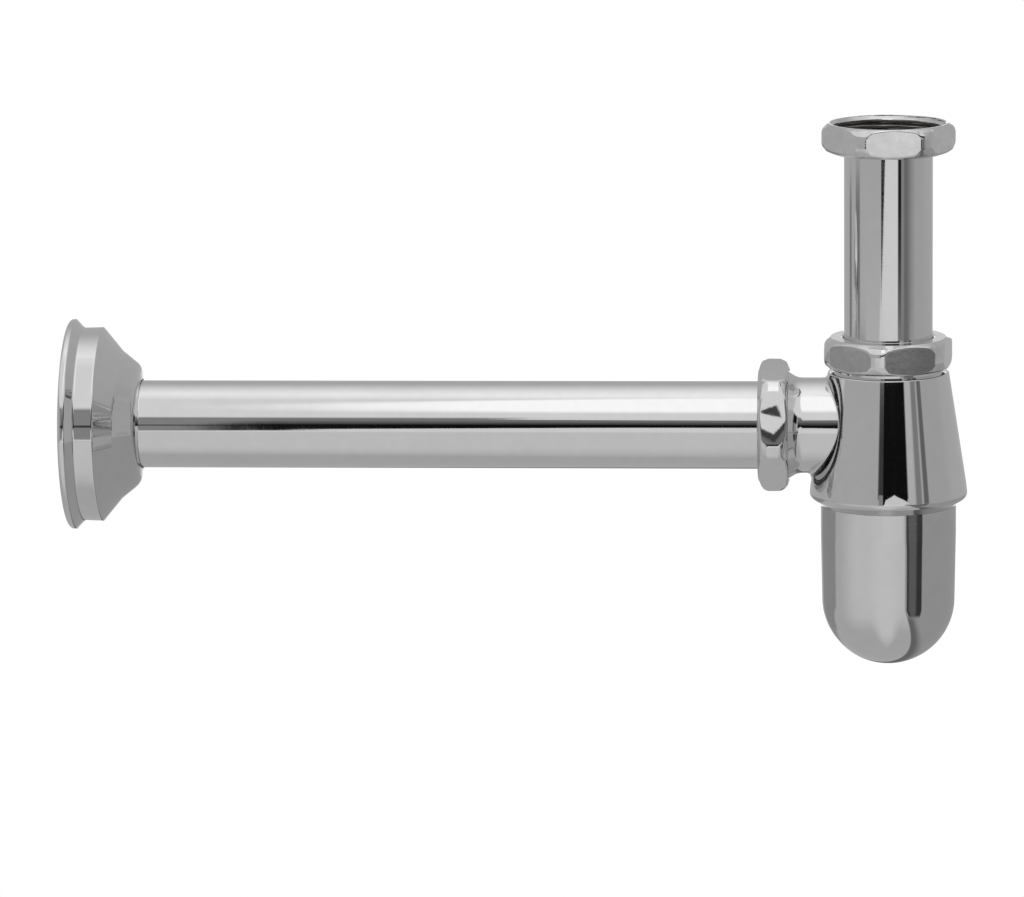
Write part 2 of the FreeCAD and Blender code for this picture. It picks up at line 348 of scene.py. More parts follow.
class Surface:
    """Collects grids of points, in millimetres, into one closed mesh."""

    def __init__(self):
        self.points = []
        self.faces = []
        self.finishes = []
        self.count = 0

    def grid(self, points, around=True, loop=False, finish=0):
        """Adds faces between rows of points.

        Around closes each row, and loop joins the last row to the first.
        """
        rows, columns = points.shape[:2]
        index = self.count + np.arange(rows * columns).reshape(rows, columns)
        if around:
            index = np.concatenate([index, index[:, :1]], axis=1)
        if loop:
            index = np.concatenate([index, index[:1]], axis=0)
        corners = (index[:-1, :-1], index[:-1, 1:], index[1:, 1:], index[1:, :-1])
        quads = np.stack(corners, axis=-1).reshape(-1, 4)
        finish = np.broadcast_to(np.asarray(finish).reshape(-1, 1), (index.shape[0] - 1, index.shape[1] - 1))
        self.points.append(points.reshape(-1, 3))
        self.faces.append(quads)
        self.finishes.append(finish.reshape(-1))
        self.count += rows * columns

    def piece(self, name, materials, turn=np.identity(3), centre=(0, 0, 0)):
        """Makes the object, in metres, with its points turned and moved to their place."""
        turned = np.concatenate(self.points) @ turn.T + np.array(centre)
        mesh = bpy.data.meshes.new(name)
        mesh.from_pydata(turned * MM, [], np.concatenate(self.faces).tolist())
        mesh.polygons.foreach_set("material_index", np.concatenate(self.finishes).astype(np.int32))
        work = bmesh.new()
        work.from_mesh(mesh)
        bmesh.ops.remove_doubles(work, verts=work.verts, dist=MERGE)
        bmesh.ops.dissolve_degenerate(work, edges=work.edges, dist=MERGE)
        bmesh.ops.recalc_face_normals(work, faces=work.faces)
        work.to_mesh(mesh)
        work.free()
        mesh.shade_smooth()
        mesh.set_sharp_from_angle(angle=SHARP_ANGLE)
        for material in materials:
            mesh.materials.append(material)
        piece = bpy.data.objects.new(name, mesh)
        bpy.context.scene.collection.objects.link(piece)
        return piece


def full_circle(count=COLUMNS):
    return np.arange(count) * (2 * math.pi / count)


def spread(rows, angles):
    """Plain (radius, height) rows repeated at every angle."""
    return np.repeat(np.asarray(rows, float)[:, None, :], len(angles), axis=1)


def outline(points):
    """Points along straight runs with rounded corners, as rows of (radius, height).

    Each straight run gets a point close to a rounding, so that its shading stays flat.
    """
    corners = [np.array(point[:2], float) for point in points]
    count = len(corners)
    result = []
    for i, corner in enumerate(corners):
        rounding = points[i][2]
        if rounding == 0:
            result.append(corner)
            continue
        back = corners[i - 1] - corner
        ahead = corners[(i + 1) % count] - corner
        back_length = np.linalg.norm(back)
        ahead_length = np.linalg.norm(ahead)
        back /= back_length
        ahead /= ahead_length
        half_angle = math.acos(np.clip(back @ ahead, -1, 1)) / 2
        run = rounding / math.tan(half_angle)
        middle = (back + ahead) / np.linalg.norm(back + ahead)
        centre = corner + middle * rounding / math.sin(half_angle)
        turn = math.pi - 2 * half_angle
        steps = max(3, round(turn / ARC_STEP))
        start = corner + back * run - centre
        end = corner + ahead * run - centre
        result.append(corner + back * (run + min(SUPPORT, (back_length - run) * SUPPORT_SHARE)))
        for k in range(steps + 1):
            share = k / steps
            mixed = start * math.sin((1 - share) * turn) + end * math.sin(share * turn)
            result.append(centre + mixed / math.sin(turn))
        result.append(corner + ahead * (run + min(SUPPORT, (ahead_length - run) * SUPPORT_SHARE)))
    return np.array(result)


def turned_grid(rows, angles):
    """Points of rows of (radius, height) turned through angles; both may vary with the angle."""
    if rows.ndim == 2:
        rows = spread(rows, angles)
    radius = rows[..., 0]
    return np.stack([radius * np.cos(angles), radius * np.sin(angles), rows[..., 1]], axis=-1)


def turned_piece(name, corners, materials, **place):
    """A lathe-turned ring from the (radius, height) corners of its section, with slightly rounded edges."""
    section = outline([(*corner, edge_round) for corner in corners])
    surface = Surface()
    surface.grid(turned_grid(section, full_circle()), loop=True)
    return surface.piece(name, materials, **place)


def thread_rows(bottom, top, angles, middle_r, depth, pitch, zero):
    """Rows from bottom to top of a right-hand thread, each as (radius, height) at every angle.

    Its crests and roots are rounded, and zero is a height at which there is a crest.
    """
    count = math.ceil((top - bottom) / thread_row) + 1
    height = np.repeat(np.linspace(bottom, top, count)[:, None], len(angles), axis=1)
    phase = (height - zero) / pitch * 2 * math.pi - angles
    return np.stack([middle_r + depth / 2 * np.cos(phase), height], axis=-1)


def cup_thread_rows(middle_r, angles):
    """The thread between cup and skirt, on either of them."""
    return thread_rows(skirt_bottom, cup_rim, angles, middle_r, cup_thread_depth, cup_pitch, cup_rim)


def smooth_least(first, second, blend):
    """The lesser of two values, with a rounded change from one to the other."""
    near = np.clip(blend - np.abs(first - second), 0, None) / blend
    return np.minimum(first, second) - near * near * blend / 4


def nut_angles():
    """Angles round a hexagon from the middle of a flat, closer together at the edges of the flats."""
    before = math.degrees(nut_edge_angle) - nut_edge_before
    after = math.degrees(nut_edge_angle) + nut_edge_after
    flat = np.linspace(0, before, nut_flat_columns, endpoint=False)
    edge = np.linspace(before, after, nut_edge_columns, endpoint=False)
    corner = np.linspace(after, 30, nut_corner_columns)
    half = np.concatenate([flat, edge, corner])
    sector = np.concatenate([-half[:0:-1], half[:-1]])
    return np.radians(np.concatenate([sector + 60 * i for i in range(6)]))


def chamfer_roundings(depth, rounding):
    """Roundings of the outer and inner edge of a nut's chamfer, no larger than there is room for on it."""
    length = depth / math.cos(nut_chamfer_angle)
    half_turn = (math.pi / 2 - nut_chamfer_angle) / 2
    outer = min(rounding, length * nut_chamfer_outer_share / math.tan(half_turn))
    inner = min(nut_face_round, length * nut_chamfer_inner_share / math.tan(nut_chamfer_angle / 2))
    return outer, inner


def nut_outside(bottom, top, bottom_face_r, top_face_r, off_flat):
    """Outline of a nut's outside, from bottom to top, at an angle off the middle of a flat."""
    slope = math.tan(nut_chamfer_angle)
    crown = nut_flat_crown * (math.tan(off_flat) / math.tan(nut_edge_angle)) ** 2
    flat_r = nut_across_flats / 2 / math.cos(off_flat) - crown
    side_r = float(smooth_least(flat_r, nut_corner_r, nut_edge_blend))
    share = np.clip((side_r - nut_corner_r + nut_round_start) / (nut_round_start - nut_round_end), 0, 1)
    rounding = nut_flat_round + (nut_corner_round - nut_flat_round) * share * share * (3 - 2 * share)
    low = bottom + (side_r - bottom_face_r) * slope
    high = top - (side_r - top_face_r) * slope
    low_edge, bottom_edge = chamfer_roundings(side_r - bottom_face_r, rounding)
    high_edge, top_edge = chamfer_roundings(side_r - top_face_r, rounding)
    inset = (high - low) * nut_side_point_share
    return [
        (bottom_face_r - nut_face_margin, bottom, 0),
        (bottom_face_r, bottom, bottom_edge),
        (side_r, low, low_edge),
        (side_r, low + inset, 0),
        (side_r, high - inset, 0),
        (side_r, high, high_edge),
        (top_face_r, top, top_edge),
        (top_face_r - nut_face_margin, top, 0),
    ]


def nut_side_rows(bottom, top, bottom_face_r, top_face_r, draft, local_angles):
    """Rows of the nut's outside, bottom to top. Draft is how much further in its bottom end is."""
    columns = []
    for angle in local_angles:
        off_flat = math.remainder(angle, math.pi / 3)
        columns.append(outline(nut_outside(bottom, top, bottom_face_r, top_face_r, off_flat)))
    rows = np.stack(columns, axis=1)
    below_top = (top - rows[..., 1]) / (top - bottom)
    rows[..., 0] -= draft * below_top ** 2
    return rows


def nut_piece(name, bottom, top, face_angle, bore, materials, mouth_up=False, draft=0, **place):
    """A nut about its own axis. Bore gives the rows of its inside, from the top down, for given angles."""
    local = nut_angles()
    angles = local + math.radians(face_angle)
    bottom_face_r = nut_face_r if mouth_up else nut_mouth_r
    top_face_r = nut_mouth_r if mouth_up else nut_face_r
    outside = nut_side_rows(bottom, top, bottom_face_r, top_face_r, draft, local)
    inside = bore(angles)
    rows = np.concatenate([outside, inside])
    finish = np.zeros(len(rows), int)
    finish[len(outside):-1] = inside[:-1, 0, 1] <= top - plated_entry
    surface = Surface()
    surface.grid(turned_grid(rows, angles), loop=True, finish=finish)
    return surface.piece(name, materials, **place)


def coupling_bore(angles):
    """Entry chamfer, thread, relief and lip of the coupling nut, from the top down."""
    lip_top = -washer_thickness - tube_flange_thickness
    minor_r = pipe_thread_r - pipe_thread_depth / 2
    rows = thread_rows(0, nut_top, angles, pipe_thread_r, pipe_thread_depth, pipe_pitch, 0)[::-1]
    entry = minor_r + rows[..., 1] - (nut_top - basin_thread_entry)
    rows[..., 0] = np.maximum(rows[..., 0], entry)
    below = [
        (thread_relief_r, 0),
        (thread_relief_r, lip_top),
        (clear_bore_r + edge_round, lip_top),
        (clear_bore_r, lip_top - edge_round),
        (clear_bore_r, nut_bottom + edge_round),
        (clear_bore_r + edge_round, nut_bottom),
    ]
    return np.concatenate([rows, spread(below, angles)])


def slip_bore(bottom, top, zero):
    """The bore of a slip nut, from the top down, with its thread in step with a crest at zero."""

    def rows(angles):
        lip_bottom = top - nut_lip
        female_r = pipe_thread_r + thread_gap / 2
        thread = thread_rows(bottom, lip_bottom, angles, female_r, pipe_thread_depth, pipe_pitch, zero)[::-1]
        entry = pipe_thread_r + pipe_thread_depth / 2 - (thread[..., 1] - bottom)
        thread[..., 0] = np.maximum(thread[..., 0], entry)
        lip = outline([
            (clear_bore_r + lip_round * 2, top, 0),
            (clear_bore_r, top, lip_round),
            (clear_bore_r, lip_bottom + edge_round, 0),
            (clear_bore_r + edge_round, lip_bottom, 0),
        ])
        return np.concatenate([spread(lip, angles), thread])

    return rows


def male_thread(bottom, top, angles, zero, plain=0.0):
    """Rows of a collar's or neck's thread, chamfered at the top. Its foot is plain, and then it runs in."""
    male_r = pipe_thread_r - thread_gap / 2
    rows = thread_rows(bottom, top, angles, male_r, pipe_thread_depth, pipe_pitch, zero)
    height = rows[..., 1]
    chamfer = male_r - joint_thread_entry + (top - height)
    run_in = np.clip((height - bottom - plain) / (pipe_pitch * pipe_thread_run_in), 0, 1)
    root_r = male_r - pipe_thread_depth / 2
    rows[..., 0] = root_r + (rows[..., 0] - root_r) * run_in
    rows[..., 0] = np.minimum(rows[..., 0], chamfer)
    return rows


class ConeWall:
    """A cone about Z with a round port towards -X, cut by a cylinder about the outlet line.

    The port lies in a frame that is half_columns wide to either side and side_rows high, with rings of
    faces between the frame and the port.
    """

    half_columns = 55
    side_rows = 44
    rings = 26

    def __init__(self, top, bottom, top_r, slope):
        self.top = top
        self.bottom = bottom
        self.top_r = top_r
        self.slope = slope
        self.lean = math.atan(slope)
        self.rows = np.linspace(bottom, top, self.side_rows + 1)

    @classmethod
    def port_count(cls):
        return 4 * cls.half_columns + 2 * cls.side_rows

    def radius(self, height):
        return self.top_r + (self.top - height) * self.slope

    def place(self, off_axis, height):
        """A point on the cone, at an angle from the -X side towards +Y."""
        radius = self.radius(height)
        return np.stack([-radius * np.cos(off_axis), radius * np.sin(off_axis), height], axis=-1)

    def border(self):
        """The frame round the port, on the wall's columns, anticlockwise from the middle of its +Y side."""
        reach = self.half_columns * COLUMN_STEP
        across = np.arange(-self.half_columns, self.half_columns + 1) * COLUMN_STEP
        plus_side = np.stack([np.full(len(self.rows), reach), self.rows], axis=-1)
        top_side = np.stack([across[::-1], np.full(len(across), self.top)], axis=-1)
        minus_side = np.stack([np.full(len(self.rows), -reach), self.rows[::-1]], axis=-1)
        bottom_side = np.stack([across, np.full(len(across), self.bottom)], axis=-1)
        whole = np.concatenate([plus_side[:-1], top_side[:-1], minus_side[:-1], bottom_side[:-1]])
        return np.roll(whole, -(self.side_rows // 2), axis=0)

    def add_to(self, surface, port, finish=0):
        """Adds the wall, where port is the (angle, height) edge of the port, in step with the border."""
        share = np.linspace(0, 1, self.rings)[:, None, None]
        mixed = port * (1 - share) + self.border() * share
        surface.grid(self.place(mixed[..., 0], mixed[..., 1]), finish=finish)
        rest = np.arange(self.half_columns, COLUMNS - self.half_columns + 1) * COLUMN_STEP
        off_axis, height = np.meshgrid(rest, self.rows)
        surface.grid(self.place(off_axis, height), around=False, finish=finish)


def mix_turns(first, second, share):
    """Unit vectors on the arc from first to second."""
    angle = np.arccos(np.clip((first * second).sum(-1), -1, 1))[:, None]
    return (first * np.sin((1 - share) * angle) + second * np.sin(share * angle)) / np.sin(angle)


def root_fillet(wall, around):
    """Rows of the fillet between the wall and the neck, from its edge on the wall to its edge on the neck."""
    fillet = neck_side_fillet + (neck_top_fillet - neck_side_fillet) * np.sin(around) ** 2
    ball_r = neck_r + fillet
    side = ball_r * np.cos(around)
    height = outlet_height + ball_r * np.sin(around)
    from_axis = wall.radius(height) + fillet / math.cos(wall.lean)
    reach = np.sqrt(from_axis ** 2 - side ** 2)
    centre = np.stack([-reach, side, height], axis=-1)
    level = math.cos(wall.lean) / from_axis
    rise = np.full(len(around), math.sin(wall.lean))
    wall_normal = np.stack([-reach * level, side * level, rise], axis=-1)
    neck_normal = np.stack([np.zeros(len(around)), np.cos(around), np.sin(around)], axis=-1)
    shares = np.linspace(0, 1, root_fillet_rows)
    rows = [centre - fillet[:, None] * mix_turns(wall_normal, neck_normal, share) for share in shares]
    return np.stack(rows)


def on_outlet(rows, around):
    """Points from (radius, reach) rows about the outlet line, at angles from +Y towards +Z."""
    radius = rows[..., 0]
    reach = rows[..., 1]
    side = radius * np.cos(around)
    height = outlet_height + radius * np.sin(around)
    return np.stack([-reach, side, height], axis=-1)


def neck_rows(around):
    """The neck's outside from its plain part to its end, then the seat and the bore's near end."""
    own_angles = math.pi / 2 - around
    flare = outline([
        (neck_r, neck_thread_start - neck_flare_length - neck_plain_length, 0),
        (neck_r, neck_thread_start - neck_flare_length, neck_flare_round),
        (neck_flare_r, neck_thread_start, 0),
    ])
    thread = male_thread(neck_thread_start, neck_end, own_angles, neck_end)
    mouth = [
        (seal_mouth_r, neck_end),
        (clear_bore_r, neck_end - seal_seat_depth),
    ]
    return np.concatenate([spread(flare, around), thread, spread(mouth, around)])


def body_outside():
    """The body's outside below its collar: rows above the cone, rows below the cone, and the cone."""
    cone_length = shoulder_height - skirt_widest - skirt_curve_height
    slope = (skirt_r - shoulder_r) / (cone_length + skirt_curve_height * skirt_slope_share)
    whole = outline([
        (pipe_thread_r - pipe_thread_depth, shoulder_height, 0),
        (shoulder_r, shoulder_height, shoulder_round),
        (shoulder_r + slope * cone_length, skirt_widest + skirt_curve_height, skirt_curve_round),
        (skirt_r, skirt_widest, skirt_round),
        (skirt_mouth_r, skirt_bottom, 0),
    ])
    cone_row = int(np.argmax(whole[:, 1] < shoulder_height - shoulder_round))
    above = whole[1:cone_row + 1]
    below = whole[cone_row + 1:]
    return above, below, ConeWall(above[-1][1], below[0][1], above[-1][0], slope)


def add_collar_and_skirt(surface, above, below):
    """Adds the threaded collar, the threaded skirt, and the bore from the cavity up through the collar."""
    angles = full_circle()
    collar = male_thread(shoulder_height, collar_top, angles, collar_top, shoulder_to_nut_gap)[::-1]
    surface.grid(turned_grid(np.concatenate([collar, spread(above, angles)]), angles))

    ledge = spread([(cup_bore_r, ledge_height), (ledge_r, ledge_height)], angles)
    skirt = np.concatenate([spread(below, angles), cup_thread_rows(cup_bore_r, angles), ledge])
    finish = np.zeros(len(skirt) - 1, int)
    finish[len(below):] = 1
    surface.grid(turned_grid(skirt, angles), finish=finish)

    bore = spread([
        (cavity_top_r, cavity_top),
        (clear_bore_r, cavity_top),
        (clear_bore_r, collar_top - seal_seat_depth),
        (seal_mouth_r, collar_top),
    ], angles)
    surface.grid(turned_grid(np.concatenate([bore, collar[:1]]), angles), finish=1)


def add_outlet(surface, outer, inner):
    """Adds both cones with their ports, the neck with the fillet at its root, and its bore."""
    around = full_circle(ConeWall.port_count())
    fillet = root_fillet(outer, around)
    edge = fillet[0]
    outer.add_to(surface, np.stack([np.arctan2(edge[:, 1], -edge[:, 0]), edge[:, 2]], axis=-1))
    surface.grid(fillet, finish=2)
    neck = on_outlet(neck_rows(around), around)
    surface.grid(np.concatenate([fillet[-1:], neck]))

    side = clear_bore_r * np.cos(around)
    height = outlet_height + clear_bore_r * np.sin(around)
    reach = np.sqrt(inner.radius(height) ** 2 - side ** 2)
    bore_edge = np.stack([-reach, side, height], axis=-1)
    surface.grid(np.stack([neck[-1], bore_edge]), finish=1)
    inner.add_to(surface, np.stack([np.arctan2(side, reach), height], axis=-1), finish=1)


def trap_body(materials):
    """One casting: threaded collar, cone with a side neck, and a threaded skirt for the cup."""
    above, below, outer = body_outside()
    inner_slope = (ledge_r - cavity_top_r) / (cavity_top - ledge_height)
    inner = ConeWall(cavity_top, ledge_height, cavity_top_r, inner_slope)
    surface = Surface()
    add_collar_and_skirt(surface, above, below)
    add_outlet(surface, outer, inner)
    return surface.piece("body_casting", materials)


def cup_piece(materials):
    """Spun cup: threaded rim, a slight taper and a round bottom."""
    angles = full_circle()
    thread = cup_thread_rows(cup_male_r, angles)[::-1]
    chamfer = cup_male_r - cup_rim_chamfer + (cup_rim - thread[..., 1])
    thread[..., 0] = np.minimum(thread[..., 0], chamfer)
    side = outline([
        (cup_r - edge_round, skirt_bottom, 0),
        (cup_r, skirt_bottom - edge_round, 0),
        (cup_r, cup_straight_bottom, cup_taper_round),
        (cup_dome_r, dome_height, 0),
    ])
    down = np.linspace(0, math.pi / 2, dome_rows + 1)[1:]
    dome = np.stack([cup_dome_r * np.cos(down), dome_height - cup_dome_r * np.sin(down)], axis=-1)
    inner_dome_r = cup_dome_r - cup_wall
    up = np.linspace(math.pi / 2, 0, dome_lining_rows + 1)
    inner_dome = np.stack([inner_dome_r * np.cos(up), dome_height - inner_dome_r * np.sin(up)], axis=-1)
    outside = np.concatenate([thread, spread(side, angles), spread(dome, angles)])
    inside = np.concatenate([inner_dome, [(cup_inner_r, cup_rim)]])
    surface = Surface()
    surface.grid(turned_grid(outside, angles))
    surface.grid(turned_grid(inside, angles), finish=1)
    surface.grid(turned_grid(np.stack([spread(inside[-1:], angles)[0], thread[0]]), angles), finish=1)
    return surface.piece("cup_shell", materials)


def inlet_tube_piece(materials):
    """Drawn tube with a flanged top."""
    flange_bottom = tube_top - tube_flange_thickness
    return turned_piece("dip_tube", [
        (tube_inner_r, tube_top),
        (tube_inner_r, dip_end),
        (tube_outer_r, dip_end),
        (tube_outer_r, flange_bottom),
        (tube_flange_r, flange_bottom),
        (tube_flange_r, tube_top),
    ], materials)


def washer_piece(materials):
    return turned_piece("inlet_washer", [
        (washer_inner_r, -washer_thickness),
        (tube_flange_r, -washer_thickness),
        (tube_flange_r, 0),
        (washer_inner_r, 0),
    ], materials)


def outlet_pipe_piece(materials):
    return turned_piece("wall_pipe", [
        (tube_inner_r, pipe_near),
        (tube_outer_r, pipe_near),
        (tube_outer_r, pipe_far),
        (tube_inner_r, pipe_far),
    ], materials, **ON_OUTLET)


def flange_piece(materials):
    """Spun cover of even thickness; its inside follows its outside."""
    front = flange_front
    rim_front = flange_back - flange_rim_width
    skin = outline([
        (flange_hole_r, front - flange_hole_reach, 0),
        (flange_nose_r, front - flange_nose_reach, flange_nose_round),
        (flange_waist_r, front + flange_waist_depth, flange_waist_round),
        (flange_shoulder_r, front + flange_shoulder_depth, flange_shoulder_round),
        (flange_band_r, rim_front - flange_rim_rise, flange_rim_round),
        (flange_rim_r, rim_front, flange_rim_round),
        (flange_rim_r, flange_back, flange_rim_round),
        (flange_rim_r - flange_rim_return, flange_back, 0),
    ])
    along = np.gradient(skin, axis=0)
    along /= np.linalg.norm(along, axis=1)[:, None]
    inwards = np.stack([-along[:, 1], along[:, 0]], axis=-1)
    lining = (skin + inwards * flange_wall)[::-1]
    angles = full_circle()
    surface = Surface()
    rows = np.concatenate([skin, lining])
    finish = np.zeros(len(rows), int)
    finish[len(skin):-1] = 1
    surface.grid(turned_grid(rows, angles), loop=True, finish=finish)
    return surface.piece("wall_cover", materials, **ON_OUTLET)


def place_camera():
    """The photograph's camera, turned about Z, then tipped, then rolled about its own line of sight."""
    yaw = Matrix.Rotation(math.radians(camera_yaw), 3, "Z")
    pitch = Matrix.Rotation(math.radians(camera_pitch), 3, "X")
    roll = Matrix.Rotation(math.radians(camera_roll), 3, "Y")
    turn = yaw @ pitch @ roll
    right, forward, up = turn.col
    camera = bpy.data.cameras.new("camera")
    camera.lens = camera_lens
    camera.sensor_width = camera_sensor
    camera.clip_end = camera_range
    holder = bpy.data.objects.new("camera", camera)
    holder.matrix_world = Matrix((right, up, -forward)).transposed().to_4x4()
    holder.location = Vector(camera_place) * MM
    bpy.context.scene.collection.objects.link(holder)
    bpy.context.scene.camera = holder


class Graph:
    """Makes nodes in one tree. An input is a number, a colour or the output of another node."""

    def __init__(self, tree):
        self.tree = tree

    def node(self, kind, inputs=None, **settings):
        made = self.tree.nodes.new("ShaderNode" + kind)
        for key, value in settings.items():
            setattr(made, key, value)
        for key, value in (inputs or {}).items():
            self.put(made.inputs[key], value)
        return made

    def put(self, socket, value):
        if isinstance(value, bpy.types.NodeSocket):
            self.tree.links.new(value, socket)
        else:
            socket.default_value = value

    def math(self, operation, *values):
        return self.node("Math", dict(enumerate(values)), operation=operation).outputs[0]

    def remap(self, value, low, high, span=NOISE_SPAN):
        """From low to high as the value goes through a span."""
        inputs = {"Value": value, "From Min": span[0], "From Max": span[1], "To Min": low, "To Max": high}
        return self.node("MapRange", inputs).outputs["Result"]

    def edge(self, value, place, softness, rising=True):
        """From 0 to 1 as the value passes a place, or from 1 to 0 where it isn't rising."""
        half = softness / 2 if rising else -softness / 2
        inputs = {"Value": value, "From Min": place - half, "From Max": place + half}
        return self.node("MapRange", inputs, interpolation_type="SMOOTHSTEP").outputs["Result"]

    def mix(self, share, first, second):
        return self.node("Mix", {"Factor": share, "A": first, "B": second}).outputs["Result"]

    def noise(self, vector, scale, detail=2.0, roughness=0.5):
        inputs = {"Vector": vector, "Scale": scale, "Detail": detail, "Roughness": roughness}
        return self.node("TexNoise", inputs).outputs["Fac"]


def new_material(name):
    material = bpy.data.materials.new(name)
    material.use_nodes = True
    graph = Graph(material.node_tree)
    shader = material.node_tree.nodes["Principled BSDF"]
    place = graph.node("TexCoord").outputs["Object"]
    return material, graph, shader, place


def dress(graph, shader, colour, roughness, bumps, metallic=0):
    """Gives a shader its colour and finish. Bumps are heights, each with its range in metres."""
    normal = None
    for height, distance in bumps:
        inputs = {"Height": height, "Strength": 1, "Distance": distance}
        if normal is not None:
            inputs["Normal"] = normal
        normal = graph.node("Bump", inputs).outputs["Normal"]
    graph.put(shader.inputs["Base Color"], colour)
    graph.put(shader.inputs["Metallic"], metallic)
    graph.put(shader.inputs["Roughness"], roughness)
    graph.put(shader.inputs["Normal"], normal)


def two_tone(graph, texture, first, second, span=NOISE_SPAN):
    """A colour that goes from first to second as the texture goes through a span."""
    inputs = {"Factor": graph.remap(texture, 0, 1, span), "A": (*first, 1), "B": (*second, 1)}
    return graph.node("Mix", inputs, data_type="RGBA").outputs["Result"]


def turning_marks(graph, place, axis):
    """Where to look up a noise to have it in fine rings about a piece's own axis, as a lathe leaves them."""
    apart = graph.node("SeparateXYZ", {0: place})
    if axis == "Z":
        along, side, rise = apart.outputs[2], apart.outputs[0], apart.outputs[1]
    else:
        rise = graph.math("SUBTRACT", apart.outputs[2], outlet_height * MM)
        along, side = apart.outputs[0], apart.outputs[1]
    angle = graph.math("ARCTAN2", rise, side)
    around = graph.math("COSINE", angle)
    across = graph.math("SINE", angle)
    offset = graph.node("CombineXYZ", {0: side, 1: rise})
    radius = graph.node("VectorMath", {0: offset.outputs[0]}, operation="LENGTH").outputs["Value"]
    ring = graph.node("CombineXYZ", {
        0: graph.math("ADD", along, radius),
        1: graph.math("MULTIPLY", around, ring_waver),
        2: graph.math("MULTIPLY", across, ring_waver),
    })
    return ring.outputs[0]


def polished_chrome(name, axis, peel, mottle=0.012, dullness=(0.025, 0.055)):
    """Bright chrome plate.

    Peel is the height of the unevenness left in the metal under it, in metres. Mottle is how much its
    brightness varies with that, and dullness is its roughness where it is least and most worn.
    """
    material, graph, shader, place = new_material(name)
    fine_rings = graph.noise(turning_marks(graph, place, axis), scale=2600, detail=3)
    smudges = graph.noise(place, scale=55, detail=4, roughness=0.6)
    specks = graph.noise(place, scale=900, detail=2)
    waves = graph.noise(place, scale=70, detail=1)
    dimples = graph.noise(place, scale=260, detail=3, roughness=0.6)

    smudged = graph.remap(smudges, chrome_level - chrome_level_range, chrome_level + chrome_level_range)
    level = graph.math("ADD", smudged, graph.remap(dimples, -mottle, mottle))
    blue = graph.math("MULTIPLY", level, chrome_blue)
    tint = graph.node("CombineColor", {0: level, 1: level, 2: blue}).outputs[0]

    worn = graph.remap(smudges, *dullness, span=(0.35, 0.75))
    ringed = graph.remap(fine_rings, *ring_dullness)
    speckled = graph.remap(specks, *speck_dullness, span=(0.5, 0.8))
    roughness = graph.math("ADD", graph.math("ADD", worn, ringed), speckled)

    bumps = ((waves, peel * wave_share), (dimples, peel * dimple_share), (fine_rings, ring_height))
    dress(graph, shader, tint, roughness, bumps, metallic=1)
    return material


def satin_metal_in_painted_shade(name, axis):
    """The metal inside, which the plating only dusts: duller, with plain tool marks, and darker in colour as
    painted shade for the bores and hollows that it lines.
    """
    material, graph, shader, place = new_material(name)
    tool_marks = graph.noise(turning_marks(graph, place, axis), scale=1500, detail=3, roughness=0.6)
    stain = graph.noise(place, scale=120, detail=4, roughness=0.6)
    # Painted shade: the inside is coloured much darker than plated metal, for the shade in bores and hollows;
    # the stain only varies it at random
    colour = two_tone(graph, stain, (0.38, 0.372, 0.358), (0.27, 0.262, 0.25), span=(0.35, 0.7))
    roughness = graph.remap(tool_marks, 0.26, 0.46)
    dress(graph, shader, colour, roughness, ((stain, 6e-6), (tool_marks, 3e-6)), metallic=1)
    return material


def moulded(name, dark, light, dullness, grain, height):
    """A moulded rubber or plastic, cloudy in colour, with the fine grain of its mould."""
    material, graph, shader, place = new_material(name)
    clouds = graph.noise(place, scale=180, detail=4, roughness=0.6)
    texture = graph.noise(place, scale=grain, detail=3, roughness=0.6)
    colour = two_tone(graph, clouds, dark, light)
    roughness = graph.remap(texture, *dullness)
    dress(graph, shader, colour, roughness, ((clouds, height * 4), (texture, height)))
    return material


def shade_level(shade):
    """Light that the chrome turns into a shade, by the standard curve of a screen's greys."""
    part = shade / 255
    linear = part / 12.92 if part <= 0.04045 else ((part + 0.055) / 1.055) ** 2.4
    return linear / chrome_level


def panel_mask(graph, azimuth, elevation, sides, ends, softness, lean=(0, 0), tilt=(0, 0)):
    """1 on a panel and 0 off it. A slanting edge crosses its stated place at the panel's middle."""
    edges = (
        (azimuth, elevation, sum(ends) / 2, sides[0], lean[0], True),
        (azimuth, elevation, sum(ends) / 2, sides[1], lean[1], False),
        (elevation, azimuth, sum(sides) / 2, ends[0], tilt[0], True),
        (elevation, azimuth, sum(sides) / 2, ends[1], tilt[1], False),
    )
    mask = None
    for (value, other, middle, place, slope, rising), soft in zip(edges, softness):
        if slope:
            value = graph.math("MULTIPLY_ADD", other, -slope, value)
            place -= slope * middle
        step = graph.edge(value, place, soft, rising)
        mask = step if mask is None else graph.math("MULTIPLY", mask, step)
    return mask


def covered(graph, level, panels, azimuth, elevation):
    """The level with the panels laid over it."""
    for _, shade, *shape in panels:
        mask = panel_mask(graph, azimuth, elevation, *shape)
        level = graph.mix(mask, level, shade_level(shade))
    return level


def unit_vector(azimuth, elevation):
    out = math.cos(math.radians(elevation))
    turn = math.radians(azimuth)
    return (out * math.sin(turn), -out * math.cos(turn), math.sin(math.radians(elevation)))


